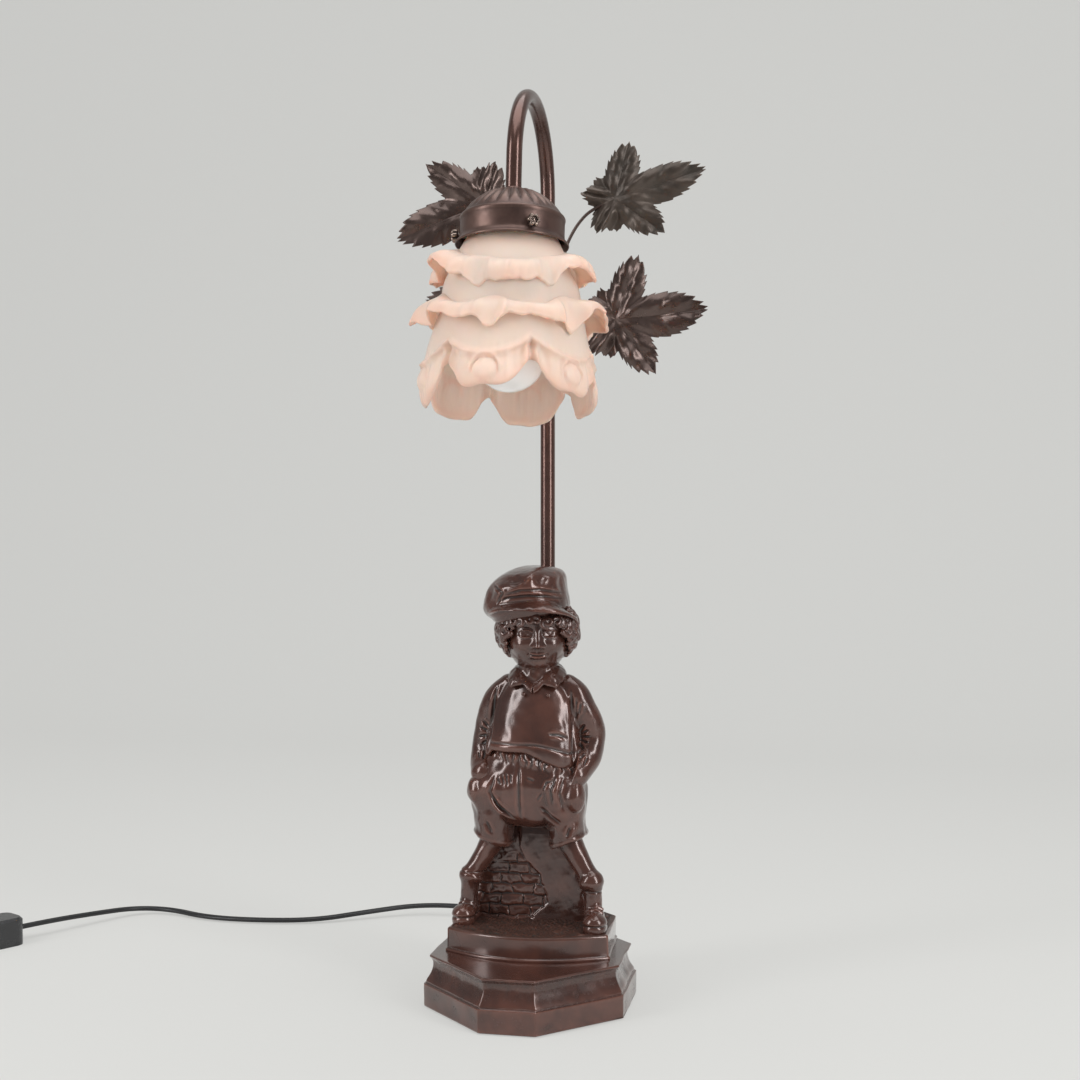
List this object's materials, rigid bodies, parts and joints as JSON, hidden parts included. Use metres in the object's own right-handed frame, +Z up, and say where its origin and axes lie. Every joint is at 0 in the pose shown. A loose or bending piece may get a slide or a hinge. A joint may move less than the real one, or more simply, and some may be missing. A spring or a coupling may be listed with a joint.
{
  "type": "figural table lamp",
  "caption": "Table lamp with a cast figure of a boy on a moulded plinth, a gooseneck tube, a frosted flower shade, metal leaves and a lead with a switch.",
  "frame": {"origin": "middle of the felt under the base, on the surface that the lamp stands on", "axes": "+Z up along the tube; the boy faces -Y; +X is to the right seen from the front"},
  "size_m": [0.675, 0.3322, 0.597],
  "materials": {
    "patina_resin": "satin dark brown patina over cast resin",
    "zinc_steel": "zinc plated",
    "felt": "pressed felt",
    "bronzed_metal": "dark bronze lacquer, worn on edges",
    "leaf_metal": "dark bronze lacquer on stamped sheet",
    "shade_glass": "frosted pink glass, deeper at the petal edges",
    "opal_glass": "white opal",
    "lamp_cap": "plain",
    "holder_plastic": "black thermoplastic",
    "insert_plastic": "cream thermoset",
    "brass_parts": "bright",
    "black_pvc": "soft black PVC, satin",
    "tie_strap": "hook and loop strap",
    "switch_case": "moulded black",
    "rocker": "moulded black"
  },
  "bodies": {
    "root": {"base_plinth": "patina_resin", "figure_casting": "patina_resin", "base_cover": "zinc_steel", "figure_bolt": "zinc_steel", "cover_screws": "zinc_steel", "stem_nut": "zinc_steel", "stem_washer": "zinc_steel", "switch_screws": "zinc_steel", "clip_screw": "zinc_steel", "felt_pad": "felt", "stem_tube": "bronzed_metal", "socket_ring": "bronzed_metal", "neck_ring": "bronzed_metal", "shade_gallery": "bronzed_metal", "spray_clip": "bronzed_metal", "gallery_nut": "bronzed_metal", "leaf_upper_right": "leaf_metal", "leaf_lower_right": "leaf_metal", "leaf_upper_left": "leaf_metal", "leaf_lower_left": "leaf_metal", "leaf_stem_upper_right": "leaf_metal", "leaf_stem_lower_right": "leaf_metal", "leaf_stem_upper_left": "leaf_metal", "leaf_stem_lower_left": "leaf_metal", "shade_glass": "shade_glass", "lampholder_cap": "holder_plastic", "lampholder_shell": "holder_plastic", "lampholder_insert": "insert_plastic", "thread_shell": "brass_parts", "centre_contact": "brass_parts", "switch_terminals": "brass_parts", "plug_pins": "brass_parts", "cord_bushing": "black_pvc", "cord_lead": "black_pvc", "cord_tail": "black_pvc", "cord_coil": "black_pvc", "cord_end": "black_pvc", "plug_body": "black_pvc", "inner_flex": "black_pvc", "cord_tie": "tie_strap", "switch_base": "switch_case", "switch_cover": "switch_case"},
    "rocker": {"switch_rocker": "rocker"},
    "bulb": {"bulb_glass": "opal_glass", "bulb_cap": "lamp_cap", "bulb_contact": "lamp_cap"},
    "screw_1": {"gallery_screw_1": "bronzed_metal"},
    "screw_2": {"gallery_screw_2": "bronzed_metal"},
    "screw_3": {"gallery_screw_3": "bronzed_metal"}
  },
  "joints": [
    {"name": "switch_toggle", "type": "hinge", "parent": "root", "child": "rocker", "pos_m": [-0.425, 0.03882, 0.016], "axis": [-0.866, 0.5, 0], "range_deg": [0, 16]},
    {"name": "bulb_unscrew", "type": "slide", "parent": "root", "child": "bulb", "axis": [0, -0.1132, -0.9936], "range_m": [0, 0.012]},
    {"name": "screw_1_back_off", "type": "slide", "parent": "root", "child": "screw_1", "axis": [0.5446, -0.8333, 0.0949], "range_m": [0, 0.004]},
    {"name": "screw_2_back_off", "type": "slide", "parent": "root", "child": "screw_2", "axis": [0.454, 0.8853, -0.1009], "range_m": [0, 0.004]},
    {"name": "screw_3_back_off", "type": "slide", "parent": "root", "child": "screw_3", "axis": [-0.9986, -0.052, 0.0059], "range_m": [0, 0.004]}
  ]
}
